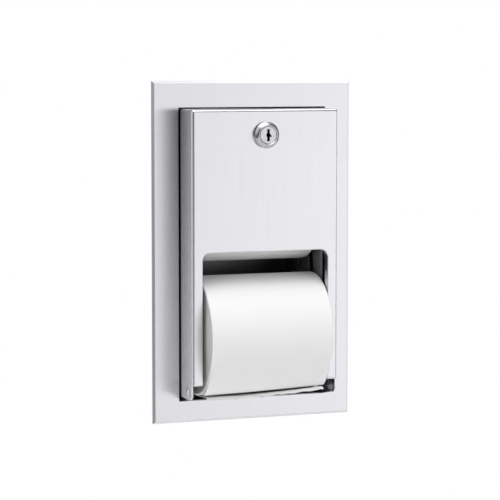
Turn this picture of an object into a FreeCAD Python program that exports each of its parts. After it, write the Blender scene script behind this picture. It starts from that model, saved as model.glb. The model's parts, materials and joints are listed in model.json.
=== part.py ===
"""Recessed toilet paper dispenser for two rolls, one above the other, in brushed stainless sheet.

X runs to the right as seen from the front, Y runs back into the wall and Z runs up.
The origin is the middle of the flange's back rim, on the wall's surface. All lengths are in mm.
"""

import FreeCAD
import Part
import Sketcher
import math
import os
from types import SimpleNamespace

SIZES = {
    # Paper rolls and their cardboard cores
    "roll_length": 114.3,
    "roll_radius": 54.75,
    "core_radius": 21.5,
    "core_wall": 1.0,
    "roll_gap": 14.1,
    "reserve_setback": 22.4,
    "lower_reach": 1.4,
    "floor_gap": 4.35,
    "headroom": 27.75,
    "back_gap": 9.45,
    "door_gap": 3.05,
    # Slack outer turn and loose end of the paper in use
    "turn_slack_left": 6.4,
    "turn_slack_right": 10.0,
    "turn_curl": 6.0,
    "turn_shift": 1.5,
    "tail_width": 110.0,
    "tail_thickness": 0.3,
    "tail_gap": 0.35,
    "tail_reach": 29.0,
    "tail_wave": 2.0,
    # Flange on the wall
    "flange_width": 194.0,
    "flange_height": 314.0,
    "flange_rise": 3.0,
    "flange_sheet": 1.0,
    "flange_edge": 0.8,
    "flange_collar": 6.0,
    "flange_gap": 1.3,
    "flange_foot": 20.0,
    # Cabinet in the wall
    "cabinet_sheet": 0.8,
    "wall_reach": 15.2,
    "lip_reach": 3.8,
    "mount_hole_radius": 2.5,
    "mount_hole_setback": 25.2,
    "mount_hole_top": 19.0,
    "mount_hole_foot": 14.2,
    # Guide plates that the spindles run in
    "guide_sheet": 1.2,
    "guide_depth": 4.0,
    "guide_gap": 1.5,
    "guide_web": 8.5,
    "guide_heel": 10.0,
    "guide_foot": 17.9,
    "guide_head": 35.5,
    "guide_tab": 12.0,
    "slot_play": 0.3,
    "lift_travel": 8.0,
    # Moulded spindles
    "journal_radius": 5.5,
    "journal_gap": 1.0,
    "journal_chamfer": 0.8,
    "collar_radius": 12.0,
    "collar_length": 1.9,
    "collar_gap": 0.45,
    "hub_play": 0.3,
    "hub_length": 14.0,
    "hub_inset": 2.0,
    "hub_chamfer": 1.5,
    "shaft_radius": 11.0,
    "rib_thickness": 2.5,
    # Bail that holds the reserve roll up while the lower roll is full
    "lever_gap": 1.0,
    "lever_sheet": 1.5,
    "lever_setback": 19.0,
    "lever_drop": 44.5,
    "lever_half_width": 6.0,
    "lever_hub_radius": 8.0,
    "shelf_gap": 0.3,
    "bar_radius": 4.0,
    "bar_drop": 20.1,
    "bar_gap": 0.3,
    "tenon_radius": 3.0,
    "tenon_stand": 0.5,
    "pin_radius": 3.0,
    "pin_collar_radius": 5.0,
    "pin_head": 1.2,
    "pin_play": 0.08,
    "pin_side_play": 0.35,
    # Door
    "door_sheet": 1.2,
    "door_bend": 2.4,
    "door_top_gap": 2.6,
    "door_wall_gap": 2.5,
    "foot_rise": 6.4,
    "bend_relief": 0.6,
    "ear_drop": 7.0,
    "ear_round": 6.0,
    "ear_heel": 1.5,
    "notch_side_gap": 3.55,
    "notch_rise": 79.5,
    "notch_round": 7.0,
    "notch_edge_round": 0.8,
    "hem_depth": 5.0,
    "hem_rise": 24.0,
    # Hinge at the bottom of the door
    "hinge_inset": 13.0,
    "hinge_rise": 12.0,
    "hinge_gap": 1.2,
    "hinge_side_play": 0.2,
    "hinge_play": 0.08,
    "hinge_pin_radius": 2.5,
    "hinge_head_radius": 4.5,
    "hinge_head": 1.6,
    "lug_radius": 7.5,
    "washer_radius": 5.0,
    # Tumbler lock
    "lock_drop": 23.3,
    "bezel_radius": 12.0,
    "bezel_face_radius": 9.0,
    "bezel_edge": 2.4,
    "bezel_rise": 6.5,
    "bezel_step": 1.1,
    "bezel_round": 5.0,
    "lock_edge": 0.4,
    "barrel_radius": 9.5,
    "barrel_length": 21.0,
    "barrel_play": 0.1,
    "plug_radius": 8.0,
    "plug_play": 0.08,
    "plug_inset": 0.3,
    "neck_radius": 6.0,
    "neck_length": 3.5,
    "tang_side": 6.0,
    "keyhole_height": 11.0,
    "keyhole_width": 2.5,
    "keyhole_depth": 14.0,
    "keyhole_post_radius": 2.1,
    "key_ward_reach": 3.0,
    "key_ward_height": 1.7,
    "key_ward_drop": 0.8,
    "lock_washer_radius": 13.0,
    "lock_washer_thickness": 1.0,
    "lock_nut_across": 24.0,
    "lock_nut_thickness": 4.0,
    "cam_thickness": 1.5,
    "cam_length": 15.0,
    "cam_half_width": 5.0,
    "cam_hub_radius": 7.0,
    "screw_radius": 1.5,
    "screw_length": 6.0,
    "screw_head_radius": 4.0,
    "screw_head": 2.0,
    "screw_slot": 0.9,
    # Strike that the lock's cam turns up behind
    "strike_sheet": 1.2,
    "strike_width": 26.0,
    "strike_gap": 1.3,
    "strike_lap": 4.8,
    "strike_tail": 16.0,
    # Rivets
    "rivet_radius": 2.0,
    "rivet_head_radius": 3.6,
    "rivet_head": 1.0,
    "guide_rivet_spread": 7.0,
    "strike_rivet_spread": 7.0,
    "strike_rivet_setback": 12.0,
    # How far a cut runs past what it cuts
    "overrun": 2.0,
}

# The outer turn lies on the roll's top, hangs slack from its front and curls in below, in degrees up
# from the roll's front; its hanging part ends lower on the left than on the right
TURN_START_DEGREES = 100.0
TURN_END_DEGREES = (-55.0, -43.0)
TURN_TUCK_DEGREES = -110.0
# The loose end comes round the roll's back and leaves its underside, in degrees up from its front
TAIL_START_DEGREES = -140.0
TAIL_END_DEGREES = -86.5
# Rise of the wavy free edge at even stations across the paper, as shares of its wave
TAIL_WAVE_SHARES = (0.0, 0.35, 0.0, -0.3, 0.3, 1.0, 1.6, 2.8, 4.2)

doc = FreeCAD.newDocument("paper_dispenser")


class Length:
    """A length known both as a number and as the expression that ties it to the sheet."""

    def __init__(self, value, text):
        self.value = value
        self.text = text

    def __add__(self, other):
        return Length(self.value + other.value, f"({self.text} + {other.text})")

    def __sub__(self, other):
        return Length(self.value - other.value, f"({self.text} - {other.text})")

    def __mul__(self, factor):
        if isinstance(factor, Length):
            return Length(self.value * factor.value, f"({self.text} * {factor.text})")
        return Length(self.value * factor, f"({self.text} * ({factor!r}))")

    def __truediv__(self, divisor):
        if isinstance(divisor, Length):
            return Length(self.value / divisor.value, f"({self.text} / {divisor.text})")
        return Length(self.value / divisor, f"({self.text} / ({divisor!r}))")

    def __neg__(self):
        return Length(-self.value, f"(-{self.text})")


ZERO = Length(0.0, "0")


def root(square):
    return Length(math.sqrt(square.value), f"sqrt({square.text})")


def hypotenuse(a, b):
    return root(a * a + b * b)


def other_leg(hypotenuse_length, leg):
    return root(hypotenuse_length * hypotenuse_length - leg * leg)


def write_sheet():
    """Puts every size in its own cell and hands back the bound lengths by name."""
    sheet = doc.addObject("Spreadsheet::Sheet", "Sizes")
    for row, (alias, value) in enumerate(SIZES.items(), start=1):
        sheet.set(f"A{row}", alias)
        sheet.set(f"B{row}", str(value))
        sheet.setAlias(f"B{row}", alias)
    doc.recompute()
    return SimpleNamespace(**{a: Length(sheet.get(a), f"Sizes.{a}") for a in SIZES})


size = write_sheet()
places = doc.addObject("App::VarSet", "Places")


def place(name, length):
    """Keeps a worked-out place under a name of its own."""
    places.addProperty("App::PropertyFloat", name)
    places.setExpression(name, length.text)
    return Length(length.value, f"Places.{name}")


# Places across the part, from the roll's end out to the door's ear
roll_half = place("roll_half", size.roll_length / 2)
collar_inner = place("collar_inner", roll_half + size.collar_gap)
collar_outer = place("collar_outer", collar_inner + size.collar_length)
lever_inner = place("lever_inner", collar_outer + size.lever_gap)
lever_outer = place("lever_outer", lever_inner + size.lever_sheet)
guide_inner = place("guide_inner", lever_outer + size.guide_gap)
guide_outer = place("guide_outer", guide_inner + size.guide_sheet)
wall_inner = place("wall_inner", guide_inner + size.guide_depth)
wall_outer = place("wall_outer", wall_inner + size.cabinet_sheet)
door_inner = place("door_inner", wall_outer + size.hinge_gap)
door_outer = place("door_outer", door_inner + size.door_sheet)
journal_end = place("journal_end", wall_inner - size.journal_gap)

# Heights, from the flange's bottom edge up
bottom_z = place("bottom_z", size.flange_foot - size.flange_height / 2)
floor_z = place("floor_z", bottom_z + size.cabinet_sheet)
lower_z = place("lower_z", floor_z + size.floor_gap + size.roll_radius)
roll_spacing = place("roll_spacing", size.roll_radius * 2 + size.roll_gap)
reserve_rise = place("reserve_rise", other_leg(roll_spacing, size.reserve_setback))
reserve_z = place("reserve_z", lower_z + reserve_rise)
roof_z = place("roof_z", reserve_z + size.roll_radius + size.headroom)
top_z = place("top_z", roof_z + size.cabinet_sheet)
door_top_z = place("door_top_z", top_z + size.door_top_gap + size.door_sheet)
hinge_z = place("hinge_z", bottom_z + size.hinge_rise)
foot_z = place("foot_z", hinge_z + size.foot_rise)
notch_z = place("notch_z", lower_z + size.notch_rise)
lock_z = place("lock_z", door_top_z - size.lock_drop)

# Depths, measured back from the wall's surface
lower_y = place("lower_y", -size.lower_reach)
reserve_y = place("reserve_y", lower_y + size.reserve_setback)
back_y = place("back_y", reserve_y + size.roll_radius + size.back_gap)
door_front_y = place("door_front_y", reserve_y - size.roll_radius - size.door_gap - size.door_sheet)
door_back_y = place("door_back_y", -(size.flange_rise + size.door_wall_gap))
hinge_y = place("hinge_y", door_front_y + size.hinge_inset)

# The spindles' slanted slot: its direction, and how far a spindle lifts in it
slot_u = place("slot_u", size.reserve_setback / roll_spacing)
slot_v = place("slot_v", reserve_rise / roll_spacing)
slot_radius = place("slot_radius", size.journal_radius + size.slot_play)
slot_top_y = place("slot_top_y", reserve_y + slot_u * size.lift_travel)
slot_top_z = place("slot_top_z", reserve_z + slot_v * size.lift_travel)

# The bail's pivot behind and below the reserve spindle, and its bar on the lower roll's back
pivot_y = place("pivot_y", reserve_y + size.lever_setback)
pivot_z = place("pivot_z", reserve_z - size.lever_drop)
bar_reach = place("bar_reach", size.roll_radius + size.bar_gap + size.bar_radius)
bar_y = place("bar_y", lower_y + other_leg(bar_reach, size.bar_drop))
bar_z = place("bar_z", lower_z - size.bar_drop)

# The guide plates' outline
guide_front_y = place("guide_front_y", lower_y - slot_radius - size.guide_web)
guide_back_y = place("guide_back_y", pivot_y + size.guide_heel)
guide_low_z = place("guide_low_z", lower_z - size.guide_foot)
guide_high_z = place("guide_high_z", reserve_z + size.guide_head)
guide_mid_y = place("guide_mid_y", (guide_front_y + guide_back_y) / 2)


def bind(thing, path, length):
    thing.setExpression(path, length.text)


def new_body(name):
    return doc.addObject("PartDesign::Body", name)


def new_sketch(body, role, level):
    """A sketch on one of the body's own planes, raised by level along that plane's normal."""
    sketch = body.newObject("Sketcher::SketchObject", f"{body.Name}_sketch")
    plane = next(item for item in body.Origin.OriginFeatures if item.Role == role)
    sketch.AttachmentSupport = [(plane, "")]
    sketch.MapMode = "FlatFace"
    bind(sketch, "AttachmentOffset.Base.z", level)
    return sketch


def arc_between(start, end, radius):
    """The short arc from start to end: it turns left where radius is positive, right where negative."""
    chord = end - start
    middle = (start + end) / 2
    left = FreeCAD.Vector(-chord.y, chord.x, 0).normalize()
    rise = math.sqrt(max(radius * radius - chord.Length**2 / 4, 0))
    centre = middle + left * math.copysign(rise, radius)
    first, last = (start, end) if radius > 0 else (end, start)
    angles = [math.atan2(p.y - centre.y, p.x - centre.x) for p in (first, last)]
    circle = Part.Circle(centre, FreeCAD.Vector(0, 0, 1), abs(radius))
    return Part.ArcOfCircle(circle, angles[0], angles[1])


def outline(body, role, corners, level=ZERO):
    """A closed outline. A corner is (u, v), or (u, v, radius) where an arc runs to the next corner."""
    sketch = new_sketch(body, role, level)
    points = [FreeCAD.Vector(corner[0].value, corner[1].value, 0) for corner in corners]
    constraints = []
    ties = []
    starts = []
    for index, corner in enumerate(corners):
        ahead = points[(index + 1) % len(points)]
        if len(corner) == 2:
            sketch.addGeometry(Part.LineSegment(points[index], ahead), False)
            starts.append(1)
            continue
        radius = corner[2] if corner[2].value > 0 else -corner[2]
        sketch.addGeometry(arc_between(points[index], ahead, corner[2].value), False)
        starts.append(1 if corner[2].value > 0 else 2)
        ties.append((len(constraints), radius))
        constraints.append(Sketcher.Constraint("Radius", index, radius.value))
    for index, corner in enumerate(corners):
        following = (index + 1) % len(corners)
        constraints.append(
            Sketcher.Constraint("Coincident", index, 3 - starts[index], following, starts[following])
        )
        for kind, length in (("DistanceX", corner[0]), ("DistanceY", corner[1])):
            ties.append((len(constraints), length))
            constraints.append(Sketcher.Constraint(kind, -1, 1, index, starts[index], length.value))
    sketch.addConstraint(constraints)
    for index, length in ties:
        if length is not ZERO:
            bind(sketch, f"Constraints[{index}]", length)
    return sketch


def circles(body, role, centres, radius, level=ZERO):
    """Equal circles in one sketch."""
    sketch = new_sketch(body, role, level)
    for index, (u, v) in enumerate(centres):
        centre = FreeCAD.Vector(u.value, v.value, 0)
        sketch.addGeometry(Part.Circle(centre, FreeCAD.Vector(0, 0, 1), radius.value), False)
        wanted = (
            (Sketcher.Constraint("Radius", index, radius.value), radius),
            (Sketcher.Constraint("DistanceX", -1, 1, index, 3, u.value), u),
            (Sketcher.Constraint("DistanceY", -1, 1, index, 3, v.value), v),
        )
        for constraint, length in wanted:
            number = sketch.addConstraint(constraint)
            if length is not ZERO:
                bind(sketch, f"Constraints[{number}]", length)
    return sketch


def rectangle(low_u, high_u, low_v, high_v):
    return [(low_u, low_v), (high_u, low_v), (high_u, high_v), (low_u, high_v)]


def obround(start, end, radius):
    """A bar with round ends, as corners with four quarter arcs."""
    run = (end[0] - start[0], end[1] - start[1])
    span = hypotenuse(run[0], run[1])
    ahead = (run[0] / span * radius, run[1] / span * radius)
    left = (-ahead[1], ahead[0])
    return [
        (start[0] + left[0], start[1] + left[1], radius),
        (start[0] - ahead[0], start[1] - ahead[1], radius),
        (start[0] - left[0], start[1] - left[1]),
        (end[0] - left[0], end[1] - left[1], radius),
        (end[0] + ahead[0], end[1] + ahead[1], radius),
        (end[0] + left[0], end[1] + left[1]),
    ]


def extrude(body, kind, sketch, length, symmetric=False):
    feature = body.newObject(f"PartDesign::{kind}", f"{body.Name}_{kind.lower()}")
    feature.Profile = sketch
    feature.SideType = "Symmetric" if symmetric else "One side"
    bind(feature, "Length", length)
    return feature


def pad(body, sketch, length, symmetric=False):
    return extrude(body, "Pad", sketch, length, symmetric)


def pocket(body, sketch, length, symmetric=False):
    """A cut, which has to take some of the solid away."""
    doc.recompute()
    before = body.Shape.Volume
    feature = extrude(body, "Pocket", sketch, length, symmetric)
    doc.recompute()
    if body.Shape.Volume >= before:
        raise RuntimeError(f"a pocket of {body.Name} cuts nothing")
    return feature


def round_edges(body, radius, wanted):
    """Rounds the edges of the body so far whose two ends both pass the test."""
    doc.recompute()
    base = body.Tip
    names = [
        f"Edge{number}"
        for number, edge in enumerate(base.Shape.Edges, start=1)
        if len(edge.Vertexes) == 2 and all(wanted(vertex.Point) for vertex in edge.Vertexes)
    ]
    feature = body.newObject("PartDesign::Fillet", f"{body.Name}_fillet")
    feature.Base = (base, names)
    bind(feature, "Radius", radius)
    return feature


def near(number, length):
    return abs(number - length.value) < Part.Precision.approximation()


TURNS = {
    "right": FreeCAD.Rotation(),
    "front": FreeCAD.Rotation(FreeCAD.Vector(0, 0, 1), -90),
    "up": FreeCAD.Rotation(FreeCAD.Vector(0, 1, 0), -90),
}


def seat(thing, direction, where):
    """Places a piece modelled along X so that its X axis points in the direction, at a bound place."""
    thing.Placement = FreeCAD.Placement(FreeCAD.Vector(), TURNS[direction])
    for axis, length in zip("xyz", where):
        if length is not ZERO:
            bind(thing, f"Placement.Base.{axis}", length)
    return thing


def turned(name, profile, direction, where):
    """A turned piece: its profile is (distance along, radius), closed along the axis or in a ring."""
    body = new_body(name)
    revolution = body.newObject("PartDesign::Revolution", f"{name}_revolution")
    revolution.Profile = outline(body, "XY_Plane", profile)
    revolution.ReferenceAxis = (revolution.Profile[0], ["H_Axis"])
    revolution.Angle = 360
    body.Tip = revolution
    return seat(body, direction, where)


def ring(name, low, high, inner, outer, direction, where):
    return turned(name, rectangle(low, high, inner, outer), direction, where)


def block(name, low, high):
    """A box between two bound corners."""
    box = doc.addObject("Part::Box", name)
    for axis, side, near_end, far_end in zip("xyz", ("Length", "Width", "Height"), low, high):
        bind(box, f"Placement.Base.{axis}", near_end)
        bind(box, side, far_end - near_end)
    return box


def frustum(name, front, back, front_half, back_half):
    """A box whose sides slope from one half width and half height at the front to another behind."""
    wedge = doc.addObject("Part::Wedge", name)
    bind(wedge, "Ymin", front)
    bind(wedge, "Ymax", back)
    for label, half in (("", front_half), ("2", back_half)):
        for axis, length in zip("XZ", half):
            bind(wedge, f"{axis}{label}min", -length)
            bind(wedge, f"{axis}{label}max", length)
    return wedge


def fused(name, pieces):
    result = doc.addObject("Part::MultiFuse", name)
    result.Shapes = pieces
    return result


def cut(name, base, tool):
    result = doc.addObject("Part::Cut", name)
    result.Base = base
    result.Tool = tool
    return result


def group(name, pieces):
    """Identical pieces that share one node."""
    result = doc.addObject("Part::Compound", name)
    result.Links = pieces
    return result


def mirrored(name, source):
    """The same piece on the left side."""
    result = doc.addObject("Part::Mirroring", name)
    result.Source = source
    result.Normal = FreeCAD.Vector(1, 0, 0)
    return result


def wall_flange():
    """Drawn frame with a bevelled edge, hollow behind, with a collar that turns in to the cabinet."""
    half = (size.flange_width / 2, size.flange_height / 2)
    front = -size.flange_rise
    bevel = size.flange_rise - size.flange_edge
    # The inside of the bevel lies one sheet thickness behind its face
    inner_front = front + size.flange_sheet
    inner_edge = size.flange_edge - size.flange_sheet * (math.sqrt(2) - 1)
    inner_half = tuple(length - size.flange_sheet for length in half)
    inner_bevel = -inner_front - inner_edge
    skin = fused("flange_skin", [
        block("flange_rim", (-half[0], -size.flange_edge, -half[1]), (half[0], ZERO, half[1])),
        frustum("flange_face", front, -size.flange_edge, tuple(h - bevel for h in half), half),
    ])
    hollow = fused("flange_hollow", [
        block(
            "flange_rim_inside",
            (-inner_half[0], -inner_edge, -inner_half[1]),
            (inner_half[0], size.overrun, inner_half[1]),
        ),
        frustum(
            "flange_face_inside",
            inner_front,
            -inner_edge,
            tuple(h - inner_bevel for h in inner_half),
            inner_half,
        ),
    ])
    # The opening leaves a gap around the door, and its edge turns in behind to the cabinet
    mouth_half = door_outer + size.flange_gap
    mouth_top = door_top_z + size.flange_gap
    collar = block(
        "flange_collar_ring",
        (-mouth_half - size.flange_sheet, inner_front, bottom_z - size.flange_sheet),
        (mouth_half + size.flange_sheet, size.flange_collar, mouth_top + size.flange_sheet),
    )
    mouth = block(
        "flange_mouth",
        (-mouth_half, front - size.overrun, bottom_z),
        (mouth_half, size.flange_collar - size.flange_sheet, mouth_top),
    )
    opening = block(
        "flange_opening",
        (-wall_outer, front - size.overrun, bottom_z),
        (wall_outer, size.flange_collar + size.overrun, top_z),
    )
    frame = fused("flange_frame", [cut("flange_shell", skin, hollow), collar])
    return cut("wall_flange", cut("flange_frame_mouth", frame, mouth), opening)


def cabinet_shell():
    """Open box in the wall, whose side walls reach forward and end in the hinge lugs."""
    body = new_body("cabinet_shell")
    back = back_y + size.cabinet_sheet
    lug = size.lug_radius
    side = [
        (back, bottom_z),
        (back, top_z),
        (-size.wall_reach, top_z),
        (-size.wall_reach, hinge_z + lug),
        (hinge_y, hinge_z + lug, lug),
        (hinge_y - lug, hinge_z, lug),
        (hinge_y, hinge_z - lug),
        (-size.lip_reach, bottom_z),
    ]
    pad(body, outline(body, "YZ_Plane", side), wall_outer * 2, symmetric=True)
    room = rectangle(-wall_inner, wall_inner, floor_z, roof_z)
    room_front = -hinge_y + lug + size.overrun
    pocket(body, outline(body, "XZ_Plane", room, room_front), room_front + back_y)
    # Roof and floor stop short of the side walls' front edges
    mouth = rectangle(-wall_inner, wall_inner, bottom_z - size.overrun, top_z + size.overrun)
    mouth_depth = room_front - size.lip_reach
    pocket(body, outline(body, "XZ_Plane", mouth, room_front), mouth_depth)
    through = wall_outer * 2 + size.overrun
    mount_y = back_y - size.mount_hole_setback
    mount_holes = [
        (mount_y, roof_z - size.mount_hole_top),
        (mount_y, floor_z + size.mount_hole_foot),
    ]
    pocket(body, circles(body, "YZ_Plane", mount_holes, size.mount_hole_radius), through, symmetric=True)
    hinge_holes = [(hinge_y, hinge_z)]
    pocket(body, circles(body, "YZ_Plane", hinge_holes, size.hinge_pin_radius), through, symmetric=True)
    rivet_holes = circles(body, "YZ_Plane", guide_rivet_places(), size.rivet_radius)
    pocket(body, rivet_holes, through, symmetric=True)
    roof_holes = circles(body, "XY_Plane", strike_rivet_places(), size.rivet_radius, top_z + size.overrun)
    pocket(body, roof_holes, size.cabinet_sheet + size.overrun * 2)
    return body


def guide_rivet_places():
    """Rivets through the guide plates' upper and lower tabs, as (y, z)."""
    low = guide_low_z - size.guide_tab / 2
    high = guide_high_z + size.guide_tab / 2
    spread = size.guide_rivet_spread
    return [(guide_mid_y + side, z) for z in (low, high) for side in (-spread, spread)]


def strike_rivet_places():
    """Rivets through the strike and the cabinet's roof, as (x, y)."""
    spread = size.strike_rivet_spread
    return [(side, size.strike_rivet_setback) for side in (-spread, spread)]


def guide_plate():
    """Plate that stands off the side wall, with the spindles' slot and its way in at the front."""
    body = new_body("guide_plate_right")
    frame = (guide_front_y, guide_back_y, guide_low_z, guide_high_z)
    pad(body, outline(body, "YZ_Plane", rectangle(*frame), guide_inner), size.guide_depth)
    sheet = size.guide_sheet
    inside = rectangle(
        guide_front_y - size.overrun, guide_back_y - sheet, guide_low_z + sheet, guide_high_z - sheet
    )
    dish = outline(body, "YZ_Plane", inside, wall_inner + size.overrun)
    pocket(body, dish, wall_inner + size.overrun - guide_outer)
    for low, high in (
        (guide_low_z - size.guide_tab, guide_low_z + sheet),
        (guide_high_z - sheet, guide_high_z + size.guide_tab),
    ):
        tab = rectangle(guide_front_y, guide_back_y, low, high)
        pad(body, outline(body, "YZ_Plane", tab, wall_inner - sheet), sheet)
    level = wall_inner + size.overrun
    depth = size.guide_depth + size.overrun * 2
    slot = obround((lower_y, lower_z), (slot_top_y, slot_top_z), slot_radius)
    pocket(body, outline(body, "YZ_Plane", slot, level), depth)
    way_in = rectangle(
        guide_front_y - size.overrun, slot_top_y, slot_top_z - slot_radius, slot_top_z + slot_radius
    )
    pocket(body, outline(body, "YZ_Plane", way_in, level), depth)
    pocket(body, circles(body, "YZ_Plane", [(pivot_y, pivot_z)], size.pin_radius, level), depth)
    pocket(body, circles(body, "YZ_Plane", guide_rivet_places(), size.rivet_radius, level), depth)
    return body


def rivet(name, grip, direction, where):
    """Button-headed rivet that starts one head below the gripped sheets."""
    shank = size.rivet_radius
    head = size.rivet_head_radius
    round_radius = (head * head + size.rivet_head * size.rivet_head) / (size.rivet_head * 2)
    profile = [
        (-size.rivet_head, ZERO, -round_radius),
        (ZERO, head),
        (ZERO, shank),
        (grip, shank),
        (grip, head, -round_radius),
        (grip + size.rivet_head, ZERO),
    ]
    return turned(name, profile, direction, where)


def guide_plate_rivets():
    grip = size.guide_sheet + size.cabinet_sheet
    start = wall_inner - size.guide_sheet
    right = [
        rivet(f"guide_rivet_{number}", grip, "right", (start, y, z))
        for number, (y, z) in enumerate(guide_rivet_places())
    ]
    left = [mirrored(f"{piece.Name}_left", piece) for piece in right]
    return group("guide_plate_rivets", right + left)


def strike_rivets():
    grip = size.strike_sheet + size.cabinet_sheet
    return group("strike_rivets", [
        rivet(f"strike_rivet_{number}", grip, "up", (x, y, roof_z - size.strike_sheet))
        for number, (x, y) in enumerate(strike_rivet_places())
    ])


def lock_strike():
    """Bent plate under the roof, whose leg hangs in front of the turned-up cam."""
    body = new_body("lock_strike")
    cam_front = door_front_y + size.barrel_length + size.neck_length
    leg_back = cam_front - size.strike_gap
    leg_front = leg_back - size.strike_sheet
    under = roof_z - size.strike_sheet
    leg_low = lock_z + size.cam_length - size.strike_lap
    bent = [
        (size.strike_tail, under),
        (size.strike_tail, roof_z),
        (leg_front, roof_z),
        (leg_front, leg_low),
        (leg_back, leg_low),
        (leg_back, under),
    ]
    pad(body, outline(body, "YZ_Plane", bent), size.strike_width, symmetric=True)
    holes = circles(body, "XY_Plane", strike_rivet_places(), size.rivet_radius, roof_z + size.overrun)
    pocket(body, holes, size.strike_sheet + size.overrun * 2)
    return body


def hinge_rivet():
    """Domed rivet that joins a lug of the cabinet to an ear of the door."""
    head = size.hinge_head_radius
    face = door_outer + size.hinge_side_play
    dome = (head * head + size.hinge_head * size.hinge_head) / (size.hinge_head * 2)
    profile = [
        (wall_inner - size.hinge_head / 2, ZERO),
        (wall_inner - size.hinge_head / 2, head),
        (wall_inner, head),
        (wall_inner, size.hinge_pin_radius),
        (face, size.hinge_pin_radius),
        (face, head, -dome),
        (face + size.hinge_head, ZERO),
    ]
    return turned("hinge_rivet_right", profile, "right", (ZERO, hinge_y, hinge_z))


def hinge_washers():
    far = door_inner - size.hinge_side_play
    where = (ZERO, hinge_y, hinge_z)
    right = ring(
        "hinge_washer_right", wall_outer, far, size.hinge_pin_radius, size.washer_radius, "right", where
    )
    return group("hinge_washers", [right, mirrored("hinge_washer_left", right)])


def door_panel():
    """Pan with a front, two sides and a top, cut away below for the lower roll and eared for the hinge."""
    body = new_body("door_panel")
    ear_z = hinge_z - size.ear_drop
    ear_y = door_front_y + size.door_bend + size.bend_relief
    side = [
        (door_back_y, ear_z + size.ear_heel),
        (door_back_y, door_top_z),
        (door_front_y, door_top_z),
        (door_front_y, foot_z),
        (ear_y, foot_z),
        (ear_y, ear_z + size.ear_round, size.ear_round),
        (ear_y + size.ear_round, ear_z),
        (door_back_y - size.ear_heel, ear_z, size.ear_heel),
    ]
    pad(body, outline(body, "YZ_Plane", side), door_outer * 2, symmetric=True)

    def outside_bend(point):
        limits = (near(abs(point.x), door_outer), near(point.y, door_front_y), near(point.z, door_top_z))
        return sum(limits) >= 2

    round_edges(body, size.door_bend, outside_bend)
    panel_back = door_front_y + size.door_sheet
    room = rectangle(-door_inner, door_inner, ear_z - size.overrun, door_top_z - size.door_sheet)
    room_depth = door_back_y - panel_back + size.overrun
    pocket(body, outline(body, "XZ_Plane", room, -panel_back), room_depth)
    notch_half = roll_half + size.notch_side_gap
    corner = size.notch_round
    notch = [
        (-notch_half, ear_z),
        (notch_half, ear_z),
        (notch_half, notch_z - corner, corner),
        (notch_half - corner, notch_z),
        (corner - notch_half, notch_z, corner),
        (-notch_half, notch_z - corner),
    ]
    cut_depth = size.door_sheet + size.overrun * 2
    pocket(body, outline(body, "XZ_Plane", notch, size.overrun - door_front_y), cut_depth)
    hem_half = notch_half + size.door_sheet
    hem_corner = corner + size.door_sheet
    hem_z = hinge_z + size.hem_rise
    hem = [
        (notch_half, hem_z),
        (hem_half, hem_z),
        (hem_half, notch_z - corner, hem_corner),
        (notch_half - corner, notch_z + size.door_sheet),
        (corner - notch_half, notch_z + size.door_sheet, hem_corner),
        (-hem_half, notch_z - corner),
        (-hem_half, hem_z),
        (-notch_half, hem_z),
        (-notch_half, notch_z - corner, -corner),
        (corner - notch_half, notch_z),
        (notch_half - corner, notch_z, -corner),
        (notch_half, notch_z - corner),
    ]
    pad(body, outline(body, "XZ_Plane", hem, -panel_back - size.hem_depth), size.hem_depth)
    pin_hole = circles(body, "YZ_Plane", [(hinge_y, hinge_z)], size.hinge_pin_radius + size.hinge_play)
    pocket(body, pin_hole, door_outer * 2 + size.overrun, symmetric=True)
    lock_hole_radius = size.barrel_radius + size.barrel_play
    lock_hole = circles(body, "XZ_Plane", [(ZERO, lock_z)], lock_hole_radius, size.overrun - door_front_y)
    pocket(body, lock_hole, cut_depth)

    def notch_edge(point):
        inside = abs(point.x) < notch_half.value + size.door_sheet.value / 2
        between = foot_z.value - size.door_sheet.value < point.z < notch_z.value + size.door_sheet.value / 2
        return near(point.y, door_front_y) and inside and between

    round_edges(body, size.notch_edge_round, notch_edge)
    return body


def lock_place():
    """The lock is modelled along its own axis, outward from the door's face."""
    return (ZERO, door_front_y, lock_z)


def lock_case():
    """Barrel through the door with a bezel in front: an upright edge, a domed slope and a step."""
    bore = size.plug_radius + size.plug_play
    profile = [
        (-size.barrel_length, bore),
        (size.bezel_rise - size.lock_edge, bore),
        (size.bezel_rise, bore + size.lock_edge),
        (size.bezel_rise, size.bezel_face_radius),
        (size.bezel_rise - size.bezel_step, size.bezel_face_radius, size.bezel_round),
        (size.bezel_edge, size.bezel_radius),
        (ZERO, size.bezel_radius),
        (ZERO, size.barrel_radius),
        (-size.barrel_length, size.barrel_radius),
    ]
    return turned("lock_case", profile, "front", lock_place())


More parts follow.
